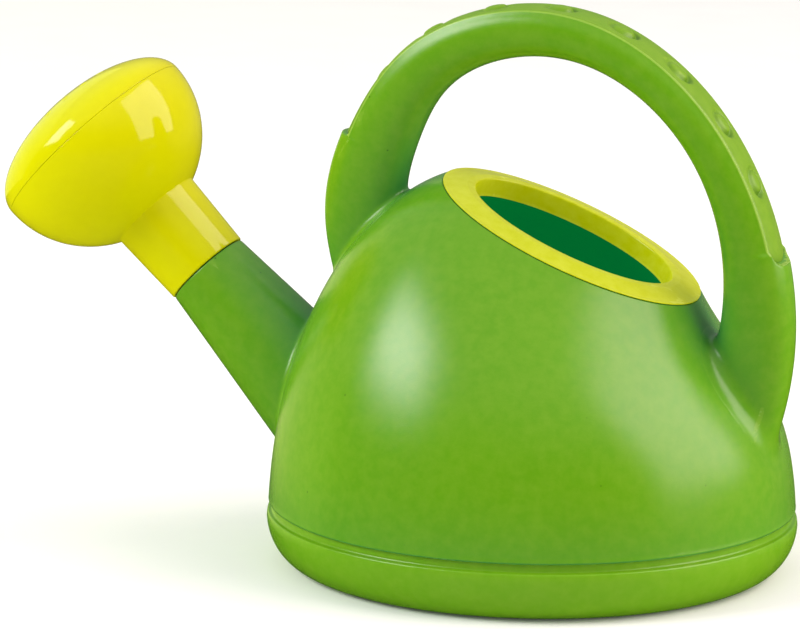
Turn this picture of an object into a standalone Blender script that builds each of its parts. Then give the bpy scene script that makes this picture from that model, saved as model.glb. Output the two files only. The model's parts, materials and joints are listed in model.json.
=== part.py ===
"""Children's watering can: a moulded tank on a separate foot pan, a conical spout with
a push-on rose, an arched handle with a grip insert, and a ring around the filling mouth.

Units are metres. +Z is up. The origin is at the centre of the underside of the foot.
The spout points along -X and everything is symmetric about Y = 0.
"""

from math import cos, pi, radians, sin, sqrt

import bmesh
import bpy
import numpy as np
from mathutils import Matrix, Vector

MM = 0.001
GAP = 0.3 * MM

# Foot pan
FOOT_X = 87.3 * MM
FOOT_Y = 80.2 * MM
FOOT_HEIGHT = 17.2 * MM
FOOT_ROUND = 13.3 * MM
FOOT_WALL = 2.4 * MM
RIB_INNER = 57.0 * MM
RIB_OUTER = 66.0 * MM
RIB_HEIGHT = 1.2 * MM
SEAM_WIDTH = 3.0 * MM
SEAM_DEPTH = 1.3 * MM
TONGUE_HEIGHT = 5.0 * MM
TONGUE_CLEAR = 0.9 * MM

# Tank shell
SHELL_SET_IN = 0.6 * MM
SHELL_WALL = 2.2 * MM
SHELL_BASE = FOOT_HEIGHT + SEAM_WIDTH
LEAN_LOW = radians(3.0)
LEAN_HIGH = radians(42.5)
PULL_LOW = 48.0 * MM
PULL_LOW_SLOPE = -6.0 * MM
PULL_HIGH = 33.0 * MM
PULL_HIGH_ENDS = 3.5 * MM
PULL_HIGH_REAR = 4.0 * MM

# Filling mouth and its ring
MOUTH_X = 14.2 * MM
MOUTH_Z = 111.5 * MM
MOUTH_TILT = radians(23.2)
MOUTH_LONG = 35.3 * MM
MOUTH_WIDE = 24.7 * MM
RING_LONG = 46.0 * MM
RING_WIDE = 35.2 * MM
RING_DROP = 1.8 * MM
RING_EDGE = 0.3 * MM
RING_WALL = 2.0 * MM
RING_SKIRT = 6.4 * MM

# Spout and rose share one sloping axis; distances run along it from the rose's seam
AXIS_X = -155.0 * MM
AXIS_Z = 129.2 * MM
AXIS_ANGLE = radians(44.9)
SPOUT_TIP = -57.5 * MM
SPOUT_TIP_RADIUS = 14.4 * MM
SPOUT_TAPER = 0.1
SPOUT_WALL = 2.0 * MM
SPOUT_LENGTH = 72.0 * MM
SPIGOT_RADIUS = 12.2 * MM
SPIGOT_LENGTH = 14.0 * MM
SPIGOT_WALL = 3.0 * MM
SEAL_SECTION = 1.0 * MM

ROSE_RADIUS = 36.4 * MM
ROSE_DEPTH = 34.8 * MM
ROSE_DOME = 16.5 * MM
ROSE_WALL = 2.0 * MM
NECK_END_RADIUS = 14.7 * MM
NECK_TOP_RADIUS = 15.7 * MM
FACE_WALL = 1.8 * MM
FACE_LIP = 4.0 * MM
HOLE_RADIUS = 0.9 * MM
HOLE_RINGS = ((0.0, 1), (7.5 * MM, 6), (15.0 * MM, 12), (22.5 * MM, 18))

# Handle arch: x, z of the middle of the section and half its thickness
HANDLE_STATIONS = (
    (62.0, 40.0, 16.5),
    (73.5, 68.5, 13.0),
    (76.0, 99.0, 10.5),
    (67.5, 131.0, 8.5),
    (50.5, 155.5, 8.0),
    (18.5, 174.5, 8.5),
    (-7.5, 175.5, 9.0),
    (-37.5, 161.0, 10.0),
    (-51.0, 140.0, 11.5),
    (-57.0, 112.5, 13.5),
    (-50.5, 92.0, 16.5),
)
HANDLE_HALF_WIDTH = 9.6 * MM
HANDLE_STEP = 1.2 * MM
HANDLE_WALL = 2.4 * MM
GRIP_HALF_WIDTH = 6.9 * MM
GRIP_CROWN = 2.0 * MM
GRIP_EDGE_DROP = 2.2 * MM
GRIP_THICK = 2.0 * MM
GRIP_START = 0.228
GRIP_END = 0.849
BUMP_COUNT = 8
BUMP_FIRST = 0.312
BUMP_LAST = 0.781
BUMP_RADIUS = 5.0 * MM
BUMP_HEIGHT = 0.6 * MM

AROUND = 40
SPOUT_SIDES = 32
SECTION_SIDES = 16

GREEN = (0.145, 0.47, 0.022, 1.0)
DARK_GREEN = (0.11, 0.38, 0.02, 1.0)
YELLOW = (0.78, 0.80, 0.005, 1.0)
RUBBER = (0.02, 0.02, 0.02, 1.0)


def clear_scene():
    for obj in list(bpy.data.objects):
        bpy.data.objects.remove(obj, do_unlink=True)


def make_collection(name, hidden=False):
    collection = bpy.data.collections.new(name)
    bpy.context.scene.collection.children.link(collection)
    collection.hide_render = hidden
    return collection


def plastic(name, colour, roughness):
    material = bpy.data.materials.new(name)
    material.use_nodes = True
    shader = material.node_tree.nodes["Principled BSDF"]
    shader.inputs["Base Color"].default_value = colour
    shader.inputs["Roughness"].default_value = roughness
    material.diffuse_color = colour
    return material


def add_mesh(name, verts, faces, collection, material=None):
    mesh = bpy.data.meshes.new(name)
    mesh.from_pydata([tuple(v) for v in verts], [], faces)
    work = bmesh.new()
    work.from_mesh(mesh)
    bmesh.ops.remove_doubles(work, verts=work.verts, dist=1e-7)
    bmesh.ops.recalc_face_normals(work, faces=work.faces)
    work.to_mesh(mesh)
    work.free()
    obj = bpy.data.objects.new(name, mesh)
    collection.objects.link(obj)
    if material:
        mesh.materials.append(material)
    return obj


def add_cutter(name, verts, faces):
    obj = add_mesh(name, verts, faces, CUTTERS)
    obj.hide_render = True
    obj.display_type = "WIRE"
    return obj


def loft(rings, wrap):
    """Faces between successive rings; wrap joins the last to the first, else both ends close."""
    count = len(rings[0])
    verts = np.concatenate(rings)
    faces = []
    pairs = len(rings) if wrap else len(rings) - 1
    for i in range(pairs):
        a = i * count
        b = (i + 1) % len(rings) * count
        for j in range(count):
            k = (j + 1) % count
            faces.append((a + j, a + k, b + k, b + j))
    if not wrap:
        last = (len(rings) - 1) * count
        faces.append(tuple(reversed(range(count))))
        faces.append(tuple(range(last, last + count)))
    return verts, faces


def boolean(obj, cutter, operation="DIFFERENCE"):
    modifier = obj.modifiers.new(cutter.name, "BOOLEAN")
    modifier.object = cutter
    modifier.operation = operation
    modifier.solver = "EXACT"
    return modifier


def turns(count=AROUND):
    return np.arange(count) * (2.0 * pi / count)


def flat_ring(inset, z, x_size=FOOT_X, y_size=FOOT_Y):
    angle = turns()
    x = (x_size - inset) * np.cos(angle)
    y = (y_size - inset) * np.sin(angle)
    return np.stack([x, y, np.full(AROUND, z)], axis=1)


def mouth_axes():
    along = np.array([cos(MOUTH_TILT), 0.0, -sin(MOUTH_TILT)])
    across = np.array([0.0, 1.0, 0.0])
    normal = np.array([sin(MOUTH_TILT), 0.0, cos(MOUTH_TILT)])
    return along, across, normal


def mouth_ring(long, wide, height):
    """An ellipse parallel to the mouth, height above its inner edge."""
    along, across, normal = mouth_axes()
    angle = turns()
    centre = np.array([MOUTH_X, 0.0, MOUTH_Z]) + height * normal
    return (
        centre
        + long * np.cos(angle)[:, None] * along
        + wide * np.sin(angle)[:, None] * across
    )


def shell_rings(inset, steps, drop=0.0, base=SHELL_BASE):
    """Rings of the tank wall from its foot up to the collar, moved inwards by inset."""
    angle = turns()
    c = np.cos(angle)[:, None]
    s = np.sin(angle)[:, None]
    along, across, normal = mouth_axes()
    up = np.array([0.0, 0.0, 1.0])
    side = np.concatenate([c, s, 0.0 * c], axis=1)
    out = c * along + s * across
    start = flat_ring(SHELL_SET_IN + inset, base)
    end = mouth_ring(
        RING_LONG + 0.3 * MM - 1.2 * inset,
        RING_WIDE + 0.3 * MM - 1.2 * inset,
        -RING_DROP - RING_EDGE - GAP - drop,
    )
    low = PULL_LOW + PULL_LOW_SLOPE * c
    high = PULL_HIGH + PULL_HIGH_REAR * c + PULL_HIGH_ENDS * c * c
    first = start + low * (cos(LEAN_LOW) * up - sin(LEAN_LOW) * side)
    second = end + high * (cos(LEAN_HIGH) * out - sin(LEAN_HIGH) * normal)
    rings = []
    for t in np.linspace(0.0, 1.0, steps):
        rings.append(
            (1 - t) ** 3 * start
            + 3 * (1 - t) ** 2 * t * first
            + 3 * (1 - t) * t * t * second
            + t**3 * end
        )
    return rings


def axis_matrix():
    """Local Z runs up the spout and out of the rose; local Y stays world Y."""
    out = Vector((-cos(AXIS_ANGLE), 0.0, sin(AXIS_ANGLE)))
    across = Vector((0.0, 1.0, 0.0))
    third = across.cross(out)
    turn = Matrix((third, across, out)).transposed()
    return Matrix.Translation((AXIS_X, 0.0, AXIS_Z)) @ turn.to_4x4()


def turned(name, profile, closed, count, material):
    """A (radius, height) profile turned about local Z; it runs down its outer side."""
    mesh = bpy.data.meshes.new(name)
    verts = [(radius, 0.0, height) for radius, height in profile]
    edges = [(i, i + 1) for i in range(len(verts) - 1)]
    if closed:
        edges.append((len(verts) - 1, 0))
    mesh.from_pydata(verts, edges, [])
    obj = bpy.data.objects.new(name, mesh)
    CAN.objects.link(obj)
    screw = obj.modifiers.new("turn", "SCREW")
    screw.steps = count
    screw.render_steps = count
    screw.use_merge_vertices = True
    screw.merge_threshold = 0.00001
    screw.use_smooth_shade = True
    mesh.materials.append(material)
    return obj


def build_pan(material):
    top = FOOT_HEIGHT
    tongue_out = FOOT_X - SHELL_SET_IN - SHELL_WALL - TONGUE_CLEAR
    tongue_in = tongue_out - FOOT_WALL
    tongue_top = SHELL_BASE + TONGUE_HEIGHT
    floor_round = FOOT_ROUND - 2 * MM
    inside = []
    for i in range(6):
        a = radians(90.0 * i / 5)
        radius = tongue_in - floor_round * (1 - sin(a))
        inside.append((radius, FOOT_WALL + (top - FOOT_WALL) * (1 - cos(a))))
    rib = RIB_HEIGHT
    over = [
        (0.0, FOOT_WALL),
        (RIB_INNER - 2 * MM, FOOT_WALL),
        (RIB_INNER, FOOT_WALL + rib),
        (RIB_OUTER, FOOT_WALL + rib),
        (RIB_OUTER + 2 * MM, FOOT_WALL),
    ]
    tongue = [
        (tongue_in, tongue_top),
        (tongue_out, tongue_top),
        (tongue_out, SHELL_BASE - GAP),
        (FOOT_X - SEAM_DEPTH, SHELL_BASE - GAP),
        (FOOT_X - SEAM_DEPTH, top),
        (FOOT_X - 0.8 * MM, top),
        (FOOT_X - 0.3 * MM, top - 0.3 * MM),
    ]
    outside = []
    for i in range(7):
        a = radians(90.0 - 90.0 * i / 6)
        radius = FOOT_X - FOOT_ROUND * (1 - sin(a))
        outside.append((radius, (top - MM) * (1 - cos(a))))
    under = [
        (RIB_OUTER + MM, 0.0),
        (RIB_OUTER, rib),
        (RIB_INNER, rib),
        (RIB_INNER - MM, 0.0),
        (0.0, 0.0),
    ]
    profile = over + inside + tongue + outside + under
    pan = turned("foot_pan", profile, False, AROUND, material)
    pan.scale = (1.0, FOOT_Y / FOOT_X, 1.0)
    return pan


def build_shell(material):
    """The wall and the flat collar under the ring, one open skin thickened inwards."""
    hole_long = MOUTH_LONG + RING_WALL + GAP
    hole_wide = MOUTH_WIDE + RING_WALL + GAP
    collar = mouth_ring(hole_long, hole_wide, -RING_DROP - RING_EDGE - GAP)
    verts, faces = loft(shell_rings(0.0, 12) + [collar], wrap=False)
    skin = [face for face in faces if len(face) == 4]
    shell = add_mesh("tank_shell", verts, skin, CAN, material)
    wall = shell.modifiers.new("wall", "SOLIDIFY")
    wall.thickness = SHELL_WALL
    wall.offset = -1.0
    wall.use_even_offset = True
    boolean(shell, spout_cutter())
    return shell


def spout_radius(distance):
    return SPOUT_TIP_RADIUS + SPOUT_TAPER * (SPOUT_TIP - distance)


def cone_cutter(name, bottom, top, bottom_radius, top_radius, count):
    """A cone frustum on the spout's axis."""
    work = bmesh.new()
    bmesh.ops.create_cone(
        work,
        cap_ends=True,
        segments=count,
        radius1=bottom_radius,
        radius2=top_radius,
        depth=top - bottom,
        matrix=Matrix.Translation((0.0, 0.0, 0.5 * (bottom + top))),
    )
    return hidden_object(name, work)


def hidden_object(name, work):
    mesh = bpy.data.meshes.new(name)
    work.to_mesh(mesh)
    work.free()
    obj = bpy.data.objects.new(name, mesh)
    CUTTERS.objects.link(obj)
    obj.hide_render = True
    obj.display_type = "WIRE"
    return obj


def spout_cutter():
    top = SPOUT_TIP - 8 * MM
    bottom = SPOUT_TIP - SPOUT_LENGTH
    low = spout_radius(bottom) + GAP
    high = spout_radius(top) + GAP
    obj = cone_cutter("spout_hole", bottom, top, low, high, SPOUT_SIDES)
    obj.matrix_world = axis_matrix()
    return obj


def tank_solid(name, inset):
    """The tank's outside as one solid, for trimming what meets it."""
    rings = shell_rings(inset, 12)
    verts, faces = loft(rings, wrap=False)
    return add_cutter(name, verts, faces)


def build_spout(material):
    tip = SPOUT_TIP
    end = tip - SPOUT_LENGTH + 4 * MM
    spigot = tip + SPIGOT_LENGTH
    bore = SPIGOT_RADIUS - SPIGOT_WALL
    profile = [
        (SPIGOT_RADIUS - 0.4 * MM, spigot),
        (SPIGOT_RADIUS, spigot - 0.6 * MM),
        (SPIGOT_RADIUS, tip),
        (SPOUT_TIP_RADIUS - 0.6 * MM, tip),
        (SPOUT_TIP_RADIUS, tip - 0.7 * MM),
        (spout_radius(end), end),
        (spout_radius(end) - SPOUT_WALL, end),
        (spout_radius(tip - 5 * MM) - SPOUT_WALL, tip - 5 * MM),
        (bore, tip - 1 * MM),
        (bore, spigot),
    ]
    spout = turned("spout", profile, True, SPOUT_SIDES, material)
    spout.matrix_world = axis_matrix()
    boolean(spout, tank_solid("tank_core", SHELL_WALL + 1.5 * MM))
    return spout


def build_seal(material):
    inner = SPIGOT_RADIUS + GAP
    outer = inner + SEAL_SECTION
    bpy.ops.mesh.primitive_torus_add(
        major_radius=0.5 * (inner + outer),
        minor_radius=0.5 * (outer - inner),
        major_segments=24,
        minor_segments=6,
    )
    seal = bpy.context.active_object
    seal.name = "rose_seal"
    for other in list(seal.users_collection):
        other.objects.unlink(seal)
    CAN.objects.link(seal)
    seal.data.materials.append(material)
    along = SPOUT_TIP + 0.5 * SPIGOT_LENGTH
    seal.matrix_world = axis_matrix() @ Matrix.Translation((0.0, 0.0, along))
    return seal


def bowl_radius(distance, inset=0.0):
    depth = ROSE_DEPTH - inset
    ratio = min(abs(distance) / depth, 1.0)
    return (ROSE_RADIUS - inset) * sqrt(1.0 - ratio * ratio)


def bowl_start(radius, inset=0.0):
    """Where along the axis the bowl reaches this radius."""
    share = radius / (ROSE_RADIUS - inset)
    return -(ROSE_DEPTH - inset) * sqrt(1.0 - share * share)


def build_bowl(material):
    neck_end = SPOUT_TIP + GAP
    neck_top = bowl_start(NECK_TOP_RADIUS)
    bore = SPIGOT_RADIUS + 2 * GAP
    outer = [(ROSE_RADIUS - 0.4 * MM, 0.0), (ROSE_RADIUS, -0.4 * MM)]
    for i in range(1, 9):
        a = radians(90.0 * i / 8)
        distance = neck_top * (0.35 * (1 - cos(a)) + 0.65 * sin(a))
        outer.append((bowl_radius(distance), distance))
    neck = [
        (NECK_END_RADIUS, neck_end + 0.5 * MM),
        (NECK_END_RADIUS - 0.4 * MM, neck_end),
        (bore, neck_end),
    ]
    middle = SPOUT_TIP + 0.5 * SPIGOT_LENGTH
    half = 0.5 * SEAL_SECTION + GAP
    groove = SPIGOT_RADIUS + SEAL_SECTION + 2 * GAP
    inner_start = bowl_start(bore, ROSE_WALL)
    inner = [
        (bore, middle - half),
        (groove, middle - half),
        (groove, middle + half),
        (bore, middle + half),
        (bore, inner_start),
    ]
    for i in range(6, 0, -1):
        distance = inner_start * i / 7
        inner.append((bowl_radius(distance, ROSE_WALL), distance))
    inner.append((ROSE_RADIUS - ROSE_WALL, 0.0))
    bowl = turned("rose_bowl", outer + neck + inner, True, AROUND, material)
    bowl.matrix_world = axis_matrix()
    return bowl


def build_face(material):
    """A dome with a lip that sits inside the bowl's edge, drilled with a ring pattern."""
    lip = ROSE_RADIUS - ROSE_WALL - 2.5 * GAP
    lip_in = lip - 1.6 * MM
    outer = []
    inner = []
    for i in range(9):
        a = radians(90.0 - 90.0 * i / 8)
        outer.append((ROSE_RADIUS * cos(a), GAP + ROSE_DOME * sin(a)))
        depth = (ROSE_DOME - FACE_WALL) * sin(a)
        inner.append(((ROSE_RADIUS - FACE_WALL) * cos(a), GAP + depth))
    outer[0] = (0.0, GAP + ROSE_DOME)
    inner[0] = (0.0, GAP + ROSE_DOME - FACE_WALL)
    edge = [
        (ROSE_RADIUS, GAP + 0.4 * MM),
        (ROSE_RADIUS - 0.4 * MM, GAP),
        (lip, GAP),
        (lip, -FACE_LIP),
        (lip_in, -FACE_LIP),
    ]
    inner = [point for point in inner if point[0] < lip_in]
    face = turned("rose_face", outer[:-1] + edge + inner[::-1], False, AROUND, material)
    face.matrix_world = axis_matrix()
    boolean(face, hole_cutter())
    return face


def hole_cutter():
    """Every spray hole as one cutter: short straight pins along the axis."""
    work = bmesh.new()
    low = ROSE_DOME * 0.3
    high = ROSE_DOME + 3 * MM
    for ring, count in HOLE_RINGS:
        for k in range(count):
            a = 2 * pi * k / count
            place = Vector((ring * cos(a), ring * sin(a), 0.5 * (low + high)))
            bmesh.ops.create_cone(
                work,
                cap_ends=True,
                segments=6,
                radius1=HOLE_RADIUS,
                radius2=HOLE_RADIUS,
                depth=high - low,
                matrix=Matrix.Translation(place),
            )
    obj = hidden_object("rose_holes", work)
    obj.matrix_world = axis_matrix()
    return obj


def build_ring(material):
    long, wide = MOUTH_LONG, MOUTH_WIDE
    out_long, out_wide = RING_LONG, RING_WIDE
    wall = RING_WALL
    under = -RING_DROP - RING_EDGE
    collar = under - GAP - SHELL_WALL

    def between(share, height):
        return (
            long + share * (out_long - long),
            wide + share * (out_wide - wide),
            height,
        )

    profile = [
        (long, wide, -RING_SKIRT),
        (long, wide, -1.2 * MM),
        between(0.02, -0.5 * MM),
        between(0.09, 0.0),
        between(0.30, -0.2 * MM),
        between(0.60, -0.75 * MM),
        between(0.85, -1.3 * MM),
        between(0.97, -1.65 * MM),
        (out_long, out_wide, -RING_DROP),
        (out_long, out_wide, under),
        (long + wall, wide + wall, under),
        (long + wall, wide + wall, collar - GAP),
        (long + wall + 0.9 * MM, wide + wall + 0.9 * MM, collar - 0.6 * MM),
        (long + wall + 0.9 * MM, wide + wall + 0.9 * MM, collar - 1.2 * MM),
        (long + wall - 0.6 * MM, wide + wall - 0.6 * MM, -RING_SKIRT),
    ]
    rings = [mouth_ring(*row) for row in profile]
    verts, faces = loft(rings, wrap=True)
    return add_mesh("fill_ring", verts, faces, CAN, material)


def natural_spline(knots, values, at):
    """A smooth curve through the values, with no bending at either end."""
    knots = np.asarray(knots)
    values = np.asarray(values)
    n = len(knots)
    h = np.diff(knots)
    matrix = np.eye(n)
    right = np.zeros_like(values)
    for i in range(1, n - 1):
        matrix[i, i - 1] = h[i - 1]
        matrix[i, i] = 2 * (h[i - 1] + h[i])
        matrix[i, i + 1] = h[i]
        slope_after = (values[i + 1] - values[i]) / h[i]
        slope_before = (values[i] - values[i - 1]) / h[i - 1]
        right[i] = 6 * (slope_after - slope_before)
    bend = np.linalg.solve(matrix, right)
    cell = np.clip(np.searchsorted(knots, at) - 1, 0, n - 2)
    left = (knots[cell + 1] - at)[:, None]
    after = (at - knots[cell])[:, None]
    width = h[cell][:, None]
    cubic = (bend[cell] * left**3 + bend[cell + 1] * after**3) / (6 * width)
    first = (values[cell] / width - bend[cell] * width / 6) * left
    second = (values[cell + 1] / width - bend[cell + 1] * width / 6) * after
    return cubic + first + second


def handle_frames(shares):
    """Middle, outward direction and half thickness at shares 0..1 from rear foot to front foot."""
    rows = np.array(HANDLE_STATIONS) * MM
    steps = np.hypot(*np.diff(rows[:, :2], axis=0).T)
    knots = np.concatenate([[0.0], np.cumsum(steps)])
    knots = knots / knots[-1]
    shares = np.asarray(shares)
    at = natural_spline(knots, rows, shares)
    ahead = natural_spline(knots, rows, np.minimum(shares + 1e-4, 1.0))
    behind = natural_spline(knots, rows, np.maximum(shares - 1e-4, 0.0))
    along = (ahead - behind)[:, :2]
    along = along / np.hypot(*along.T)[:, None]
    outward = np.stack([along[:, 1], -along[:, 0]], axis=1)
    return at[:, :2], outward, at[:, 2]


def sweep(shares, section):
    """Rings along the handle; section gives (outward, sideways) points from the half thickness."""
    middle, outward, half = handle_frames(shares)
    rings = []
    for m, e, a, share in zip(middle, outward, half, shares):
        points = section(a, share)
        rows = []
        for r, y in points:
            rows.append((m[0] + r * e[0], y, m[1] + r * e[1]))
        rings.append(np.array(rows))
    return loft(rings, wrap=False)


def arch_section(half, share):
    points = []
    grip = GRIP_START < share < GRIP_END
    for i in range(SECTION_SIDES):
        a = 2 * pi * i / SECTION_SIDES
        c, s = cos(a), sin(a)
        power = 0.88
        r = half * abs(c) ** power * (1 if c > 0 else -1)
        y = HANDLE_HALF_WIDTH * abs(s) ** power * (1 if s > 0 else -1)
        if r > 0 and not grip:
            r += HANDLE_STEP * min(1.0, r / (0.4 * half))
        points.append((r, y))
    return points


def recess_section(half, share):
    low = half - GRIP_EDGE_DROP - GRIP_THICK - GAP
    high = half + 6 * MM
    y = GRIP_HALF_WIDTH + GAP
    return [(low, -y), (low, y), (high, y), (high, -y)]


def channel_section(half, share):
    low = -half + HANDLE_WALL
    high = half - GRIP_EDGE_DROP - 0.5 * GRIP_THICK
    y = HANDLE_HALF_WIDTH - HANDLE_WALL - 1.6 * MM
    return [(low, -0.6 * y), (low + 2 * MM, -y), (high, -y), (high, y), (low + 2 * MM, y), (low, 0.6 * y)]


def grip_section(half, share):
    y = GRIP_HALF_WIDTH
    low = half - GRIP_EDGE_DROP - GRIP_THICK
    edge = half - GRIP_EDGE_DROP
    crown = edge + GRIP_CROWN
    return [
        (low, -y),
        (low, y),
        (edge + 0.25 * GRIP_CROWN, y),
        (edge + 0.85 * GRIP_CROWN, 0.5 * y),
        (crown, 0.0),
        (edge + 0.85 * GRIP_CROWN, -0.5 * y),
        (edge + 0.25 * GRIP_CROWN, -y),
    ]


def handle_shares(start, end, count):
    return np.linspace(start, end, count)


def build_arch(material):
    edge = 0.006
    rear = handle_shares(0.0, GRIP_START, 7)
    grip = handle_shares(GRIP_START + edge, GRIP_END - edge, 20)
    front = handle_shares(GRIP_END, 1.0, 5)
    shares = np.concatenate([rear, grip, front])
    arch = add_mesh("handle_arch", *sweep(shares, arch_section), CAN, material)
    inner = handle_shares(GRIP_START + edge, GRIP_END - edge, 20)
    recess = add_cutter("grip_recess", *sweep(inner, recess_section))
    boolean(arch, recess)
    core = handle_shares(GRIP_START + 3 * edge, GRIP_END - 3 * edge, 19)
    channel = add_cutter("grip_channel", *sweep(core, channel_section))
    boolean(arch, channel)
    boolean(arch, tank_solid("tank_outside", -GAP))
    return arch


def build_grip(material):
    edge = 0.006
    clear = 0.002
    shares = handle_shares(GRIP_START + edge + clear, GRIP_END - edge - clear, 22)
    grip = add_mesh("grip_strip", *sweep(shares, grip_section), CAN, material)
    boolean(grip, bump_union(), "UNION")
    return grip


def bump_union():
    """The raised domes, each a flattened ball sunk partly into the strip."""
    shares = np.linspace(BUMP_FIRST, BUMP_LAST, BUMP_COUNT)
    middle, outward, half = handle_frames(shares)
    sunk = 0.3 * MM
    work = bmesh.new()
    for m, e, a in zip(middle, outward, half):
        top = a - GRIP_EDGE_DROP + GRIP_CROWN - sunk
        centre = Vector((m[0] + top * e[0], 0.0, m[1] + top * e[1]))
        out = Vector((e[0], 0.0, e[1]))
        across = Vector((0.0, 1.0, 0.0))
        turn = Matrix((across.cross(out), across, out)).transposed().to_4x4()
        size = (BUMP_RADIUS, BUMP_RADIUS * 0.9, BUMP_HEIGHT + sunk, 1.0)
        place = Matrix.Translation(centre) @ turn @ Matrix.Diagonal(size)
        bmesh.ops.create_uvsphere(work, u_segments=12, v_segments=6, radius=1.0, matrix=place)
    return hidden_object("grip_bumps", work)


clear_scene()
CAN = make_collection("watering_can")
CUTTERS = make_collection("cutters", hidden=True)

green = plastic("green_plastic", GREEN, 0.38)
grip_green = plastic("grip_plastic", DARK_GREEN, 0.45)
yellow = plastic("yellow_plastic", YELLOW, 0.2)
rubber = plastic("seal_rubber", RUBBER, 0.8)

build_pan(green)
build_shell(green)
build_spout(green)
build_arch(green)
build_grip(grip_green)
build_ring(yellow)
build_seal(rubber)
build_bowl(yellow)
build_face(yellow)
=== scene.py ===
import json
from math import cos, pi, radians, sin, sqrt, tan

import bmesh
import bpy
import numpy as np
from mathutils import Matrix, Vector
from mathutils.bvhtree import BVHTree


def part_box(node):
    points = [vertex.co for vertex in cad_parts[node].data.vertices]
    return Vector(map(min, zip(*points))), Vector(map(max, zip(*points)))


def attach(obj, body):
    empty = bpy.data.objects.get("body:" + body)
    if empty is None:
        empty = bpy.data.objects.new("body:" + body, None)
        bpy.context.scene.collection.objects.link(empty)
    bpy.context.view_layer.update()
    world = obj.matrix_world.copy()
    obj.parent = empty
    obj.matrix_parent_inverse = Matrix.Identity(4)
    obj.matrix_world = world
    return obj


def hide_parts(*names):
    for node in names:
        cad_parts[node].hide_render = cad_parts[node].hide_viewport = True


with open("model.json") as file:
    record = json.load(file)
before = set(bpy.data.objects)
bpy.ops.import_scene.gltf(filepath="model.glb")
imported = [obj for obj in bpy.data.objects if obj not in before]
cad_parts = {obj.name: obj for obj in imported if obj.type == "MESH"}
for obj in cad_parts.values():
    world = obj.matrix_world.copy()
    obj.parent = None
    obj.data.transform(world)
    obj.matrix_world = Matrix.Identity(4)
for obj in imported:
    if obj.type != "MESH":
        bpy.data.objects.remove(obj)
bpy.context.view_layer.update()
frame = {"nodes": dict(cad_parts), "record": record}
MM = 0.001
GAP = 0.3 * MM

# Foot pan: its outline comes from the CAD node, the rest are the design's own sizes.
FOOT_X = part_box("foot_pan")[1].x
FOOT_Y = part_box("foot_pan")[1].y
FOOT_HEIGHT = 17.2 * MM
FOOT_ROUND = 13.3 * MM
FOOT_WALL = 2.4 * MM
RIB_INNER = 57.0 * MM
RIB_OUTER = 66.0 * MM
RIB_HEIGHT = 1.2 * MM
SEAM_DEPTH = 2.1 * MM
SEAM_GAP = 0.08 * MM
TONGUE_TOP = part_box("foot_pan")[1].z
TONGUE_CLEAR = 0.9 * MM

# Tank shell
SHELL_BASE = 20.2 * MM
SHELL_SET_IN = 0.6 * MM
SHELL_WALL = 2.2 * MM
SHELL_EDGE = 0.8 * MM
SHELL_EDGE_SHARE = 0.0072
LEAN_LOW = radians(3.0)
LEAN_HIGH = radians(42.5)
PULL_LOW = 48.0 * MM
PULL_LOW_SLOPE = -6.0 * MM
PULL_HIGH = 33.0 * MM
PULL_HIGH_ENDS = 3.5 * MM
PULL_HIGH_REAR = 4.0 * MM
COLLAR_SPARE = 0.3 * MM
COLLAR_LEAN = 1.2

# Filling mouth and its ring
MOUTH_X = 14.2 * MM
MOUTH_Z = 111.5 * MM
MOUTH_TILT = radians(23.2)
MOUTH_LONG = 35.3 * MM
MOUTH_WIDE = 24.7 * MM
RING_LONG = 46.0 * MM
RING_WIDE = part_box("fill_ring")[1].y
RING_DROP = 1.8 * MM
RING_EDGE = 0.3 * MM
RING_WALL = 2.0 * MM
RING_SKIRT = 6.4 * MM
RING_FLAT_SHARE = 0.27
RING_SLOPE_SHARE = 0.86
RING_BEAD = 0.9 * MM

# Spout and rose: the twist joint gives their shared axis and the rose's seam.
TWIST = next(joint for joint in frame["record"]["behaviour"]["joints"] if joint["name"] == "rose_twist")
AXIS_POINT = Vector(TWIST["pos_m"])
AXIS_OUT = Vector(TWIST["axis"]).normalized()
SPOUT_TIP = -57.5 * MM
SPOUT_TIP_RADIUS = 14.4 * MM
SPOUT_TAPER = 0.1
SPOUT_WALL = 2.0 * MM
SPIGOT_RADIUS = 12.2 * MM
SPIGOT_LENGTH = 14.0 * MM
SPIGOT_WALL = 3.0 * MM
SPOUT_REACH = 95.0 * MM
SEAL_SECTION = 1.0 * MM
ROSE_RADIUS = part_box("rose_bowl")[1].y
ROSE_DEPTH = 34.8 * MM
ROSE_DOME = 16.5 * MM
ROSE_WALL = 2.0 * MM
ROSE_SEAM = 0.06 * MM
NECK_END_RADIUS = 14.7 * MM
NECK_TOP_RADIUS = 15.7 * MM
FACE_WALL = 1.8 * MM
FACE_LIP = 4.0 * MM
HOLE_RADIUS = 0.9 * MM
HOLE_COUNTERSINK = 0.45 * MM
HOLE_RINGS = ((0.0, 1), (7.5 * MM, 6), (15.0 * MM, 12), (22.5 * MM, 18))

# Handle arch: x, z of the middle of the section and half its thickness, in mm
HANDLE_STATIONS = (
    (62.0, 40.0, 16.5),
    (73.5, 68.5, 13.0),
    (76.0, 99.0, 10.5),
    (67.5, 131.0, 8.5),
    (50.5, 155.5, 8.0),
    (18.5, 174.5, 8.5),
    (-7.5, 175.5, 9.0),
    (-37.5, 161.0, 10.0),
    (-51.0, 140.0, 11.5),
    (-57.0, 112.5, 13.5),
    (-50.5, 92.0, 16.5),
)
HANDLE_HALF_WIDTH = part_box("handle_arch")[1].y
HANDLE_STEP = 1.2 * MM
HANDLE_POWER = 0.88
HANDLE_CLEAR = (0.2, 0.875)  # the shares between which the handle stands clear of the tank

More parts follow.
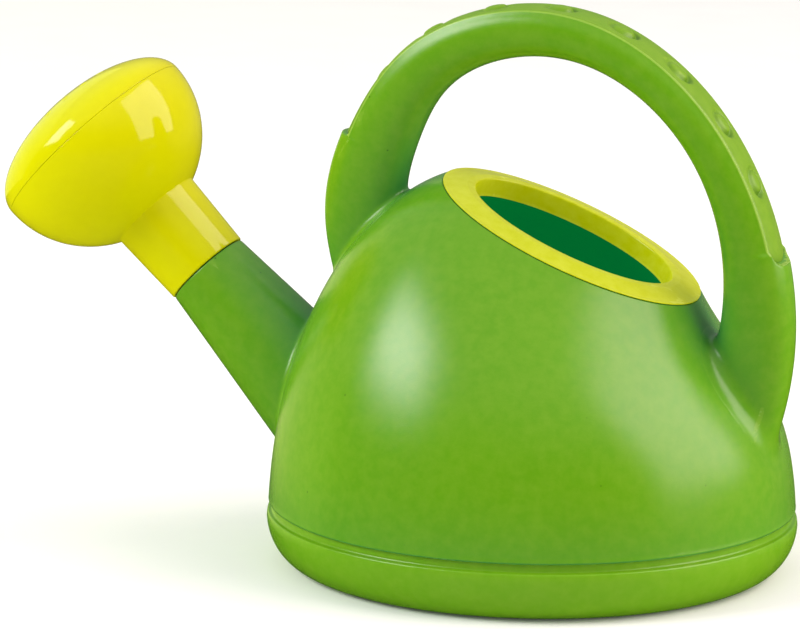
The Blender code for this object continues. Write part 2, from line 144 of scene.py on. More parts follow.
# Grip: shares run from 0 at the rear foot to 1 at the front foot; the rim is where strip and arch meet.
GRIP_START = 0.228
GRIP_END = 0.849
GRIP_HALF_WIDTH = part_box("grip_strip")[1].y
GRIP_CROWN = 1.2 * MM
GRIP_RIM_SHARE = (1 - (GRIP_HALF_WIDTH / HANDLE_HALF_WIDTH) ** (2 / HANDLE_POWER)) ** (HANDLE_POWER / 2)
GRIP_RIM_RISE = 0.3 * MM
GRIP_EDGE_LEAST = 0.05 * MM
GRIP_EDGE_DROP = 2.2 * MM
GRIP_END_BOW = 3.8 * MM
GRIP_RIDGE = 0.08 * MM
RIDGE_AT = 0.94
RIDGE_SPREAD = 0.045
RIDGE_RUN = 0.06
RIDGE_FALL = 0.05 * MM
GRIP_LIP = 0.45 * MM
LIP_MIDDLE = 0.35 * MM
LIP_SPREAD = 0.45 * MM
LIP_REACH = 0.65 * MM
LIP_POINTS = (-0.5, -0.1, 0.1, 0.25, 0.4, 0.55, 0.75, 1.0, 1.3)
STRIP_NOSE = 0.8 * MM
RAMP_REAR = 1.7 * MM
RAMP_FRONT = 1.5 * MM
RECESS = 1.2 * MM
RECESS_RUN = 6.0 * MM

# Domes on the grip: each has a shallow moat, deeper on the side towards the rear
BUMP_COUNT = 8
BUMP_FIRST = 0.312
BUMP_LAST = 0.781
BUMP_RADIUS = 4.5 * MM
BUMP_HEIGHT = 0.6 * MM
BUMP_SHARE = 0.8
BUMP_MOAT = 1.5 * MM
MOAT_MIDDLE = 0.92
MOAT_SPREAD = 0.19

# Fillets where the limbs grow out of the tank
SPOUT_FILLET = 2.4 * MM
REAR_FILLET = 7.0 * MM
FRONT_FILLET = 3.0 * MM
FILLET_STEPS = 8
SINK = 0.25 * MM

# Fineness
AROUND = 224
SPOUT_AROUND = 144
SECTION_AROUND = 88


# ---------------------------------------------------------------- mesh helpers


def piece(name, verts, faces, material, body=None, nodes=(), sharp=32.0):
    """A named mesh, smooth below the sharp angle in degrees, riding on its body in place of its CAD nodes."""
    mesh = bpy.data.meshes.new(name)
    mesh.from_pydata([tuple(v) for v in verts], [], [tuple(f) for f in faces])
    work = bmesh.new()
    work.from_mesh(mesh)
    bmesh.ops.remove_doubles(work, verts=work.verts, dist=1e-7)
    bmesh.ops.recalc_face_normals(work, faces=work.faces)
    work.to_mesh(mesh)
    work.free()
    obj = bpy.data.objects.new(name, mesh)
    bpy.context.scene.collection.objects.link(obj)
    mesh.shade_smooth()
    mesh.set_sharp_from_angle(angle=radians(sharp))
    if material:
        mesh.materials.append(material)
    if body:
        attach(obj, body)
    if nodes:
        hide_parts(*nodes)
    return obj


def grid(rings, wrap):
    """Quads between successive rings; wrap joins the last ring to the first, else both ends are capped."""
    rings = [np.asarray(ring) for ring in rings]
    count = len(rings[0])
    faces = []
    pairs = len(rings) if wrap else len(rings) - 1
    for i in range(pairs):
        a = i * count
        b = (i + 1) % len(rings) * count
        for j in range(count):
            k = (j + 1) % count
            faces.append((a + j, a + k, b + k, b + j))
    if not wrap:
        last = (len(rings) - 1) * count
        faces.append(tuple(reversed(range(count))))
        faces.append(tuple(range(last, last + count)))
    return np.concatenate(rings), faces


def rounded(points, steps=5):
    """An outline of (x, y, radius) corners with each corner but the two ends turned into a short curve."""
    out = []
    for i, (x, y, radius) in enumerate(points):
        here = np.array([x, y])
        if radius == 0.0 or i in (0, len(points) - 1):
            out.append(here)
            continue
        back = np.array(points[i - 1][:2]) - here
        ahead = np.array(points[i + 1][:2]) - here
        back_length = np.hypot(*back)
        ahead_length = np.hypot(*ahead)
        back = back / back_length
        ahead = ahead / ahead_length
        turn = pi - np.arccos(np.clip(back @ ahead, -1.0, 1.0))
        reach = min(radius * tan(turn / 2), 0.48 * back_length, 0.48 * ahead_length)
        start = here + back * reach
        end = here + ahead * reach
        for k in range(steps + 1):
            t = k / steps
            out.append((1 - t) ** 2 * start + 2 * t * (1 - t) * here + t * t * end)
    return out


def subdivided(profile, longest):
    """The outline with no stretch longer than this, so that shading stays even."""
    out = [np.asarray(profile[0], float)]
    for point in profile[1:]:
        point = np.asarray(point, float)
        parts = max(1, int(np.ceil(np.hypot(*(point - out[-1])) / longest)))
        first = out[-1]
        for k in range(1, parts + 1):
            out.append(first + (point - first) * k / parts)
    return out


def turned(profile, count, matrix=None, wrap=True, squeeze=1.0):
    """A (radius, height) outline turned about local Z; wrap is False where both its ends lie on the axis."""
    angle = np.arange(count) * (2 * pi / count)
    rings = []
    for radius, height in profile:
        x = radius * np.cos(angle)
        y = squeeze * radius * np.sin(angle)
        rings.append(np.stack([x, y, np.full(count, height)], axis=1))
    verts, faces = grid(rings, wrap=True)
    if not wrap:
        faces = faces[: (len(rings) - 1) * count]
    if matrix is not None:
        m = np.array(matrix)
        verts = verts @ m[:3, :3].T + m[:3, 3]
    return verts, faces


def boolean_cut(obj, cutter):
    """Cuts cutter out of obj for good and removes the cutter."""
    modifier = obj.modifiers.new("cut", "BOOLEAN")
    modifier.object = cutter
    modifier.operation = "DIFFERENCE"
    modifier.solver = "EXACT"
    bpy.context.view_layer.update()
    graph = bpy.context.evaluated_depsgraph_get()
    mesh = bpy.data.meshes.new_from_object(obj.evaluated_get(graph))
    mesh.name = obj.name
    obj.modifiers.clear()
    obj.data = mesh
    bpy.data.objects.remove(cutter, do_unlink=True)


def bezier(a, b, c, steps):
    """Rings of a quadratic curve from each point of a towards b and on to c, without its first ring."""
    return [(1 - t) ** 2 * a + 2 * t * (1 - t) * b + t * t * c for t in np.linspace(0, 1, steps + 1)[1:]]


def axis_matrix():
    """Local Z runs up the spout and out of the rose; local Y stays world Y."""
    across = Vector((0.0, 1.0, 0.0))
    third = across.cross(AXIS_OUT)
    return Matrix.Translation(AXIS_POINT) @ Matrix((third, across, AXIS_OUT)).transposed().to_4x4()


# ---------------------------------------------------------------- tank and foot


def flat_ring(inset, z):
    """A level ellipse at this height, inset from the foot's outline."""
    angle = np.arange(AROUND) * (2 * pi / AROUND)
    x = (FOOT_X - inset) * np.cos(angle)
    y = (FOOT_Y - inset) * np.sin(angle)
    return np.stack([x, y, np.full(AROUND, z)], axis=1)


def mouth_axes():
    """Directions along, across and out of the tilted filling mouth."""
    along = np.array([cos(MOUTH_TILT), 0.0, -sin(MOUTH_TILT)])
    across = np.array([0.0, 1.0, 0.0])
    normal = np.array([sin(MOUTH_TILT), 0.0, cos(MOUTH_TILT)])
    return along, across, normal


def mouth_ring(long, wide, height):
    """An ellipse parallel to the mouth, height above its inner edge."""
    along, across, normal = mouth_axes()
    angle = np.arange(AROUND)[:, None] * (2 * pi / AROUND)
    centre = np.array([MOUTH_X, 0.0, MOUTH_Z]) + height * normal
    return centre + long * np.cos(angle) * along + wide * np.sin(angle) * across


def wall_rings(inset, shares, drop=0.0):
    """Rings of the tank wall at these shares from foot to collar, moved inwards by inset."""
    angle = np.arange(AROUND)[:, None] * (2 * pi / AROUND)
    c = np.cos(angle)
    s = np.sin(angle)
    along, across, normal = mouth_axes()
    up = np.array([0.0, 0.0, 1.0])
    side = np.concatenate([c, s, 0.0 * c], axis=1)
    out = c * along + s * across
    start = flat_ring(SHELL_SET_IN + inset, SHELL_BASE)
    long = RING_LONG + COLLAR_SPARE - COLLAR_LEAN * inset
    wide = RING_WIDE + COLLAR_SPARE - COLLAR_LEAN * inset
    end = mouth_ring(long, wide, -RING_DROP - RING_EDGE - GAP - drop)
    low = PULL_LOW + PULL_LOW_SLOPE * c
    high = PULL_HIGH + PULL_HIGH_REAR * c + PULL_HIGH_ENDS * c * c
    first = start + low * (cos(LEAN_LOW) * up - sin(LEAN_LOW) * side)
    second = end + high * (cos(LEAN_HIGH) * out - sin(LEAN_HIGH) * normal)
    rings = []
    for t in shares:
        lower = (1 - t) ** 3 * start + 3 * (1 - t) ** 2 * t * first
        rings.append(lower + 3 * (1 - t) * t * t * second + t**3 * end)
    return rings


def tree_of(rings):
    """The open surface through these rings, ready for ray casts."""
    verts, faces = grid(rings, wrap=True)
    faces = faces[: (len(rings) - 1) * len(rings[0])]
    return BVHTree.FromPolygons([tuple(v) for v in verts], faces)


def build_tank(material, inside):
    """Outer wall, collar under the ring, and inner wall, with the spout's opening cut through."""
    base = []
    steps = 7
    for k in range(steps + 1):
        a = radians(90.0 * k / steps)
        inset = SHELL_SET_IN + SHELL_EDGE * (1 - sin(a))
        base.append(flat_ring(inset, SHELL_BASE + SHELL_EDGE * (1 - cos(a))))
    outer = wall_rings(0.0, np.linspace(SHELL_EDGE_SHARE, 1.0, 92))
    collar = -RING_DROP - RING_EDGE - GAP
    hole_long = MOUTH_LONG + RING_WALL + GAP
    hole_wide = MOUTH_WIDE + RING_WALL + GAP
    rim = []
    for share in (0.35, 0.7, 1.0):
        long = RING_LONG + share * (hole_long - RING_LONG)
        wide = RING_WIDE + share * (hole_wide - RING_WIDE)
        rim.append(mouth_ring(long, wide, collar))
    rim.append(mouth_ring(hole_long, hole_wide, collar - SHELL_WALL))
    inner = wall_rings(SHELL_WALL, np.linspace(1.0, 0.0, 70), drop=SHELL_WALL)
    inner.append(flat_ring(SHELL_SET_IN + SHELL_WALL, SHELL_BASE))
    verts, faces = grid(base + outer + rim + inner, wrap=True)
    tank = piece("tank", verts, faces, material)
    tank.data.materials.append(inside)
    boolean_cut(tank, spout_bore(SPOUT_TIP - 10 * MM, SPOUT_TIP - 90 * MM))
    mark_inside(tank)
    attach(tank, "can")
    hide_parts("tank_shell")
    return tree_of(outer), tree_of(inner)


def mark_inside(tank):
    """Gives the faces that look inwards, other than the flat collar, the inner material."""
    foot = np.array([0.0, 0.0, SHELL_BASE])
    mouth = np.array([MOUTH_X, 0.0, MOUTH_Z])
    for face in tank.data.polygons:
        share = min(max((face.center.z - SHELL_BASE) / (MOUTH_Z - SHELL_BASE), 0.0), 1.0)
        core = Vector(foot + share * (mouth - foot))
        if face.normal.dot(face.center - core) < 0.0 and face.normal.z < 0.85:
            face.material_index = 1


def spout_bore(top, bottom):
    """A plain cone along the spout, a little wider than the spout's inside, to cut with."""
    wall = SPOUT_WALL - GAP
    upper = spout_radius(top) - wall
    lower = spout_radius(bottom) - wall
    profile = [(0.0, top), (upper, top), (lower, bottom), (0.0, bottom)]
    verts, faces = turned(profile, SPOUT_AROUND, axis_matrix(), wrap=False)
    return piece("spout_hole", verts, faces, None)


def build_foot(material):
    """The pan: round outer wall, seam shelf and tongue, inner bowl and the rib under the floor."""
    top = FOOT_HEIGHT
    tongue_out = FOOT_X - SHELL_SET_IN - SHELL_WALL - TONGUE_CLEAR
    tongue_in = tongue_out - FOOT_WALL
    floor_round = FOOT_ROUND - 2 * MM
    outline = [
        (0.0, FOOT_WALL, 0.0),
        (RIB_INNER - 2 * MM, FOOT_WALL, MM),
        (RIB_INNER, FOOT_WALL + RIB_HEIGHT, MM),
        (RIB_OUTER, FOOT_WALL + RIB_HEIGHT, MM),
        (RIB_OUTER + 2 * MM, FOOT_WALL, MM),
    ]
    inner_steps = 12
    for i in range(inner_steps + 1):
        a = radians(90.0 * i / inner_steps)
        radius = tongue_in - floor_round * (1 - sin(a))
        outline.append((radius, FOOT_WALL + (top - FOOT_WALL) * (1 - cos(a)), 0.0))
    outline += [
        (tongue_in, TONGUE_TOP, 0.4 * MM),
        (tongue_out, TONGUE_TOP, 0.4 * MM),
        (tongue_out, SHELL_BASE - SEAM_GAP, 0.0),
        (FOOT_X - SEAM_DEPTH, SHELL_BASE - SEAM_GAP, 0.1 * MM),
        (FOOT_X - SEAM_DEPTH + 0.15 * MM, top + 0.3 * MM, 0.9 * MM),
        (FOOT_X - 0.25 * MM, top, 0.7 * MM),
    ]
    outer_steps = 24
    for i in range(1, outer_steps + 1):
        a = radians(90.0 - 90.0 * i / outer_steps)
        radius = FOOT_X - FOOT_ROUND * (1 - sin(a))
        outline.append((radius, (top - MM) * (1 - cos(a)), 0.0))
    outline += [
        (RIB_OUTER + MM, 0.0, 0.5 * MM),
        (RIB_OUTER, RIB_HEIGHT, 0.5 * MM),
        (RIB_INNER, RIB_HEIGHT, 0.5 * MM),
        (RIB_INNER - MM, 0.0, 0.5 * MM),
        (0.0, 0.0, 0.0),
    ]
    profile = subdivided(rounded(outline), 4 * MM)
    verts, faces = turned(profile, AROUND, wrap=False, squeeze=FOOT_Y / FOOT_X)
    return piece("foot", verts, faces, material, "can", ["foot_pan"], sharp=50.0)


def build_ring(material):
    """The ring: a flat inner band, a slope, a skirt into the mouth and a snap bead under the collar."""
    band = RING_LONG - MOUTH_LONG
    under = -RING_DROP - RING_EDGE
    collar = under - GAP - SHELL_WALL
    outline = [
        (0.0, -RING_SKIRT, 0.0),
        (0.0, 0.0, 0.7 * MM),
        (RING_FLAT_SHARE * band, -0.05 * MM, 0.9 * MM),
        (RING_SLOPE_SHARE * band, -1.62 * MM, 0.7 * MM),
        (band, -RING_DROP + 0.05 * MM, 0.3 * MM),
        (band, under, 0.15 * MM),
        (RING_WALL, under, 0.3 * MM),
        (RING_WALL, collar - GAP, 0.2 * MM),
        (RING_WALL + RING_BEAD, collar - 0.7 * MM, 0.3 * MM),
        (RING_WALL + RING_BEAD, collar - 1.2 * MM, 0.3 * MM),
        (RING_WALL - 0.6 * MM, -RING_SKIRT, 0.4 * MM),
        (0.0, -RING_SKIRT, 0.0),
    ]
    profile = subdivided(rounded(outline), 1.5 * MM)[:-1]
    widen = (RING_WIDE - MOUTH_WIDE) / band
    rings = [mouth_ring(MOUTH_LONG + u, MOUTH_WIDE + u * widen, h) for u, h in profile]
    verts, faces = grid(rings, wrap=True)
    return piece("mouth_ring", verts, faces, material, "can", ["fill_ring"], sharp=50.0)


# ---------------------------------------------------------------- limbs that grow out of the tank


def first_hits(columns, tree):
    """Where each inward column of points first meets the tank: the place, the normal and the travel to it."""
    places = []
    normals = []
    travels = []
    for column in columns:
        travel = 0.0
        for a, b in zip(column[:-1], column[1:]):
            step = b - a
            length = float(np.linalg.norm(step))
            place, normal, _, distance = tree.ray_cast(Vector(a), Vector(step / length), length)
            if place is not None:
                travel += distance
                break
            travel += length
        else:
            place, normal, _, _ = tree.find_nearest(Vector(column[-1]))
        places.append(np.array(place))
        normals.append(np.array(normal))
        travels.append(travel)
    return np.array(places), np.array(normals), np.array(travels)


def at_travel(columns, travels):
    """The point of each column at this distance from its start."""
    out = []
    for column, travel in zip(columns, travels):
        steps = np.linalg.norm(np.diff(column, axis=0), axis=1)
        along = np.concatenate([[0.0], np.cumsum(steps)])
        out.append([np.interp(travel, along, column[:, axis]) for axis in range(3)])
    return np.array(out)


def unit(vectors):
    """Each row scaled to length 1."""
    return vectors / np.linalg.norm(vectors, axis=1)[:, None]


def root_rings(columns, tree, size, rows):
    """Rings from the columns' starts to a fillet that ends inside the tank, with the hits and normals."""
    hit, normal, travel = first_hits(columns, tree)
    middle = hit.mean(axis=0)
    top = np.mean([column[0] for column in columns], axis=0)
    normal = np.where(((top - middle) @ normal.T > 0)[:, None], normal, -normal)
    size = np.minimum(size, 0.6 * travel)
    before = at_travel(columns, travel - size)
    rings = []
    for share in np.linspace(0.0, 1.0, rows + 1)[1:]:
        rings.append(at_travel(columns, share * (travel - size)))
    along = unit(np.roll(hit, -1, axis=0) - np.roll(hit, 1, axis=0))
    away = unit(np.cross(along, normal))
    if np.sum(away * (hit - middle)) < 0:
        away = -away
    for _ in range(3):
        away = unit(np.roll(away, 1, axis=0) + 2 * away + np.roll(away, -1, axis=0))
    landing = []
    skin = []
    for point, direction, reach in zip(hit, away, size):
        place, face_normal, _, _ = tree.find_nearest(Vector(point + direction * reach))
        landing.append(place)
        skin.append(face_normal)
    landing = np.array(landing)
    skin = np.array(skin)
    skin = np.where((np.sum(skin * normal, axis=1) > 0)[:, None], skin, -skin)
    rings += bezier(before, hit, landing, FILLET_STEPS)
    rings.append(landing + 3 * away * SINK - skin * SINK)
    return rings, hit, normal


def spout_radius(distance):
    """The cone's outer radius at this distance along the axis."""
    return SPOUT_TIP_RADIUS + SPOUT_TAPER * (SPOUT_TIP - distance)


def along_axis(radius, distance):
    """A ring about the spout's axis."""
    angle = np.arange(SPOUT_AROUND) * (2 * pi / SPOUT_AROUND)
    x = radius * np.cos(angle)
    y = radius * np.sin(angle)
    local = np.stack([x, y, np.full(SPOUT_AROUND, distance)], axis=1)
    m = np.array(axis_matrix())
    return local @ m[:3, :3].T + m[:3, 3]


def build_spout(material, tank_outer, tank_inner):
    """Spigot, shoulder and cone outside, a fillet onto the tank, and the bore back up to the tip."""
    spigot = SPOUT_TIP + SPIGOT_LENGTH
    bore = SPIGOT_RADIUS - SPIGOT_WALL
    start = SPOUT_TIP - 6 * MM
    outside = rounded(
        [
            (bore, spigot - 5 * MM, 0.0),
            (bore, spigot, 0.5 * MM),
            (SPIGOT_RADIUS, spigot, 0.6 * MM),
            (SPIGOT_RADIUS, SPOUT_TIP, 0.3 * MM),
            (SPOUT_TIP_RADIUS, SPOUT_TIP, 0.7 * MM),
            (spout_radius(start), start, 0.0),
        ]
    )
    rings = [along_axis(r, d) for r, d in subdivided(outside, 3 * MM)]
    reach = np.linspace(start, SPOUT_TIP - SPOUT_REACH, 160)
    cone = np.array([along_axis(spout_radius(d), d) for d in reach])
    root, _, _ = root_rings(list(cone.transpose(1, 0, 2)), tank_outer, SPOUT_FILLET, 34)
    inner = np.array([along_axis(spout_radius(d) - SPOUT_WALL, d) for d in reach])
    inner_columns = list(inner.transpose(1, 0, 2))
    skin, _, skin_travel = first_hits(inner_columns, tank_outer)
    _, _, deep_travel = first_hits(inner_columns, tank_inner)
    deep = at_travel(inner_columns, np.maximum(deep_travel, skin_travel + MM))
    axis = np.array(AXIS_OUT)
    offset = skin - np.array(AXIS_POINT)
    radial = unit(offset - np.outer(offset @ axis, axis))
    under = skin + 0.3 * MM * radial - MM * axis
    bore_rings = [at_travel(inner_columns, share * deep_travel) for share in np.linspace(0.96, 0.04, 24)]
    narrowing = SPOUT_TIP - 5 * MM
    taper = rounded(
        [
            (spout_radius(start) - SPOUT_WALL, start, 0.0),
            (spout_radius(narrowing) - SPOUT_WALL, narrowing, MM),
            (bore, SPOUT_TIP - MM, MM),
            (bore, spigot - 5.5 * MM, 0.0),
        ]
    )
    throat = [along_axis(r, d) for r, d in subdivided(taper, 3 * MM)]
    turn = [under, deep + 0.2 * MM * radial, deep]
    verts, faces = grid(rings + root + turn + bore_rings + throat, wrap=True)
    return piece("spout_tube", verts, faces, material, "can", ["spout"], sharp=50.0)


# ---------------------------------------------------------------- handle and grip


def natural_spline(knots, values, at):
    """A smooth curve through the values, with no bending at either end."""
    count = len(knots)
    h = np.diff(knots)
    matrix = np.eye(count)
    right = np.zeros_like(values)
    for i in range(1, count - 1):
        matrix[i, i - 1] = h[i - 1]
        matrix[i, i] = 2 * (h[i - 1] + h[i])
        matrix[i, i + 1] = h[i]
        right[i] = 6 * ((values[i + 1] - values[i]) / h[i] - (values[i] - values[i - 1]) / h[i - 1])
    bend = np.linalg.solve(matrix, right)
    cell = np.clip(np.searchsorted(knots, at) - 1, 0, count - 2)
    left = (knots[cell + 1] - at)[:, None]
    after = (at - knots[cell])[:, None]
    width = h[cell][:, None]
    cubic = (bend[cell] * left**3 + bend[cell + 1] * after**3) / (6 * width)
    first = (values[cell] / width - bend[cell] * width / 6) * left
    return cubic + first + (values[cell + 1] / width - bend[cell + 1] * width / 6) * after


def handle_knots():
    """The stations' shares of the handle's length, the stations in metres, and the length."""
    rows = np.array(HANDLE_STATIONS) * MM
    steps = np.hypot(*np.diff(rows[:, :2], axis=0).T)
    knots = np.concatenate([[0.0], np.cumsum(steps)])
    return knots / knots[-1], rows, knots[-1]


KNOTS, STATIONS, HANDLE_LENGTH = handle_knots()


def handle_frames(shares):
    """Middle, outward direction and half thickness at shares 0..1 from rear foot to front foot."""
    shares = np.asarray(shares, float)
    at = natural_spline(KNOTS, STATIONS, shares)
    ahead = natural_spline(KNOTS, STATIONS, np.minimum(shares + 1e-4, 1.0))
    behind = natural_spline(KNOTS, STATIONS, np.maximum(shares - 1e-4, 0.0))
    along = (ahead - behind)[:, :2]
    along = along / np.hypot(*along.T)[:, None]
    outward = np.stack([along[:, 1], -along[:, 0]], axis=1)
    return at[:, :2], outward, at[:, 2]


def smooth_step(x):
    """0 up to 0 and 1 from 1 on, with an even S between them."""
    x = np.clip(x, 0.0, 1.0)
    return x * x * (3 - 2 * x)


def section_angles():
    """Even angles round the section, with extra ones over the recess's wall and the lip at each side."""
    angles = list(np.arange(SECTION_AROUND) * (2 * pi / SECTION_AROUND))
    for beyond in LIP_POINTS:
        y = GRIP_HALF_WIDTH + beyond * MM
        a = np.arcsin((y / HANDLE_HALF_WIDTH) ** (1 / HANDLE_POWER))
        angles += [a, 2 * pi - a]
    return np.sort(np.array(angles))


ANGLES = section_angles()


def in_grip(shares, y):
    """1 along the grip and 0 beyond it; at the rear the edge is a blunt U, at the front it is straight."""
    across = np.minimum(np.abs(y) / GRIP_HALF_WIDTH, 1.0)
    bow = GRIP_END_BOW * (1 - np.sqrt(1 - across**3))
    from_rear = (shares - GRIP_START) * HANDLE_LENGTH - bow
    from_front = (GRIP_END - shares) * HANDLE_LENGTH
    return smooth_step(from_rear / RAMP_REAR + 0.5) * smooth_step(from_front / RAMP_FRONT + 0.5)


def arch_points(shares, angles):
    """Points of the arch's surface, one for each share and angle pair."""
    middle, outward, half = handle_frames(shares)
    c = np.cos(angles)
    s = np.sin(angles)
    r = half * np.abs(c) ** HANDLE_POWER * np.sign(c)
    y = HANDLE_HALF_WIDTH * np.abs(s) ** HANDLE_POWER * np.sign(s)
    grip = in_grip(shares, y)
    # Beyond the grip the outside stands a step higher; on the front leg the step fades to the sides.
    fuller = HANDLE_STEP * np.clip(r / (0.4 * half), 0.0, 1.0)
    sideways = smooth_step((np.abs(y) / HANDLE_HALF_WIDTH - 0.45) / 0.4)
    fuller = fuller * (1 - 0.8 * sideways * (shares > 0.5))
    # Within it there is a pocket for the strip, with a rounded lip along each side.
    deep = RECESS * smooth_step((shares - GRIP_START) * HANDLE_LENGTH / RECESS_RUN)
    low = np.minimum(r, half - GRIP_EDGE_DROP - deep)
    lip = GRIP_LIP * np.exp(-(((np.abs(y) - GRIP_HALF_WIDTH - LIP_MIDDLE) / LIP_SPREAD) ** 2))
    raised = r + np.where(r > 0, lip, 0.0)
    sunk = np.where((np.abs(y) < GRIP_HALF_WIDTH - 0.3 * MM) & (r > 0), low, raised)
    r = grip * sunk + (1 - grip) * (r + fuller)
    return np.stack([middle[:, 0] + r * outward[:, 0], y, middle[:, 1] + r * outward[:, 1]], axis=1)


def arch_ring(share):
    """The arch's section at one share."""
    return arch_points(np.full(len(ANGLES), share), ANGLES)


def build_handle(material, edge, tank_outer):
    """The arch, finely divided at the grip's ends, with fillets at its feet that run out on the tank."""
    fine = 0.5 * MM / HANDLE_LENGTH
    rear_turn = np.arange(GRIP_START - 3 * MM / HANDLE_LENGTH, GRIP_START + 12 * MM / HANDLE_LENGTH, fine)
    front_turn = np.arange(GRIP_END - 2 * MM / HANDLE_LENGTH, GRIP_END + 2 * MM / HANDLE_LENGTH, 0.3 * fine)
    shares = np.concatenate(
        [
            np.linspace(HANDLE_CLEAR[0], rear_turn[0], 6)[:-1],
            rear_turn,
            np.linspace(rear_turn[-1], front_turn[0], 140)[1:-1],
            front_turn,
            np.linspace(front_turn[-1], HANDLE_CLEAR[1], 10)[1:],
        ]
    )
    body = [arch_ring(share) for share in shares]
    roots = []
    for first, last, size in ((shares[0], 0.0, REAR_FILLET), (shares[-1], 1.0, FRONT_FILLET)):
        run = np.linspace(first, last, 220)
        columns = [arch_points(run, np.full(len(run), a)) for a in ANGLES]
        rings, hit, normal = root_rings(columns, tank_outer, size, 60)
        inside = hit - normal * 1.5 * MM
        roots.append(rings + [0.9 * inside + 0.1 * inside.mean(axis=0)])
    verts, faces = grid(roots[0][::-1] + body + roots[1], wrap=False)
    handle = piece("handle", verts, faces, material, "can", ["handle_arch"], sharp=50.0)
    # The second slot holds the lip's painted highlight.
    handle.data.materials.append(edge)
    mark_lip(handle)
    return handle


def mark_lip(handle):
    """Gives the raised edge beside the strip, and its round rear end, the lighter material of a painted
    highlight.
    """
    shares = np.linspace(*HANDLE_CLEAR, 1200)
    middle, outward, half = handle_frames(shares)
    for face in handle.data.polygons:
        x, y, z = face.center
        if abs(y) > GRIP_HALF_WIDTH + LIP_REACH or z < 0.5 * MOUTH_Z:
            continue
        offset = np.array([x, z]) - middle
        i = np.argmin(np.sum(offset**2, axis=1))
        outside = offset[i] @ outward[i] > 0.3 * half[i]
        grip = in_grip(shares[i], y)
        beside = abs(y) > GRIP_HALF_WIDTH - 0.35 * MM and grip > 0.4
        rear_end = shares[i] < 0.5 and 0.02 < grip < 0.5
        if outside and (beside or rear_end):
            face.material_index = 1


def strip_height(across, side):
    """Height of the plain strip, for across from -1 to 1: a low crown, and near each edge a small ridge."""
    y = np.abs(across)
    ridge = GRIP_RIDGE * np.exp(-(((y - RIDGE_AT) / RIDGE_SPREAD) ** 2))
    edge = RIDGE_FALL * np.clip((y - RIDGE_AT) / RIDGE_RUN, 0.0, 1.0) ** 2.2
    return side + (GRIP_CROWN - side) * (1 - y * y) + ridge - edge


def dome_and_moat(share, y, centres):
    """How far the nearest dome lifts the strip at y, and how far its moat lowers it."""
    nearest = centres[np.argmin(np.abs(centres - share))]
    lengthways = (share - nearest) * HANDLE_LENGTH / BUMP_RADIUS
    away = np.hypot(lengthways, y / (0.9 * BUMP_RADIUS))
    dome = BUMP_HEIGHT * np.clip(1 - (away / BUMP_SHARE) ** 2, 0.0, 1.0) ** 0.8
    moat = np.exp(-(((away - MOAT_MIDDLE) / MOAT_SPREAD) ** 2))
    rearwards = max(-lengthways, 0.0) ** 2 / np.maximum(away, 0.1) ** 2
    return dome, BUMP_MOAT * moat * (0.4 + 0.6 * rearwards)


def build_strip(material):
    """The grip insert, with a round rear end and the row of low domes."""
    start = GRIP_START - 0.4 * MM / HANDLE_LENGTH
    end = GRIP_END - 0.5 * MM / HANDLE_LENGTH
    step = 0.3 * MM / HANDLE_LENGTH
    rear = start + (1 - np.cos(np.linspace(0.0, pi / 2, 14))) * GRIP_END_BOW / HANDLE_LENGTH
    rest = np.arange(rear[-1], end, step)[1:]
    shares = np.concatenate([rear, rest, [end - step, end]])
    border = -1 + 0.12 * np.linspace(0, 1, 7) ** 1.3
    across = np.concatenate([border, np.linspace(-0.88, 0.88, 33)[1:-1], -border[::-1]])
    middle, outward, half = handle_frames(shares)
    centres = np.linspace(BUMP_FIRST, BUMP_LAST, BUMP_COUNT)
    rings = []
    for centre, direction, a, share in zip(middle, outward, half, shares):
        from_end = (share - start) * HANDLE_LENGTH
        turning = max(1 - from_end / GRIP_END_BOW, 0.0)
        span = max(GRIP_HALF_WIDTH * (1 - turning**2) ** (1 / 3), 0.3 * MM)
        y = across * span
        side = max(GRIP_RIM_SHARE * a + GRIP_RIM_RISE - (a - GRIP_EDGE_DROP), GRIP_EDGE_LEAST)
        fullness = min(1.0, 0.3 + span / GRIP_HALF_WIDTH * 0.7)
        dome, moat = dome_and_moat(share, y, centres)
        r = a - GRIP_EDGE_DROP + strip_height(across, side) * fullness + dome - moat
        front = np.clip((share - (end - STRIP_NOSE / HANDLE_LENGTH)) * HANDLE_LENGTH / STRIP_NOSE, 0.0, 1.0)
        r = r - 0.5 * MM * front**2
        low = a - GRIP_EDGE_DROP - RECESS - 0.2 * MM
        y_all = np.concatenate([y, [y[-1], 0.0, y[0]]])
        r_all = np.concatenate([r, [low, low, low]])
        x = centre[0] + r_all * direction[0]
        z = centre[1] + r_all * direction[1]
        rings.append(np.stack([x, y_all, z], axis=1))
    verts, faces = grid(rings, wrap=False)
    return piece("grip_insert", verts, faces, material, "can", ["grip_strip"], sharp=50.0)


# ---------------------------------------------------------------- rose


def bowl_radius(distance, inset=0.0):
    """The bowl's radius at this distance along the axis from its seam."""
    ratio = min(abs(distance) / (ROSE_DEPTH - inset), 1.0)
    return (ROSE_RADIUS - inset) * sqrt(1.0 - ratio * ratio)


def bowl_start(radius, inset=0.0):
    """Where along the axis the bowl reaches this radius."""
    return -(ROSE_DEPTH - inset) * sqrt(1.0 - (radius / (ROSE_RADIUS - inset)) ** 2)


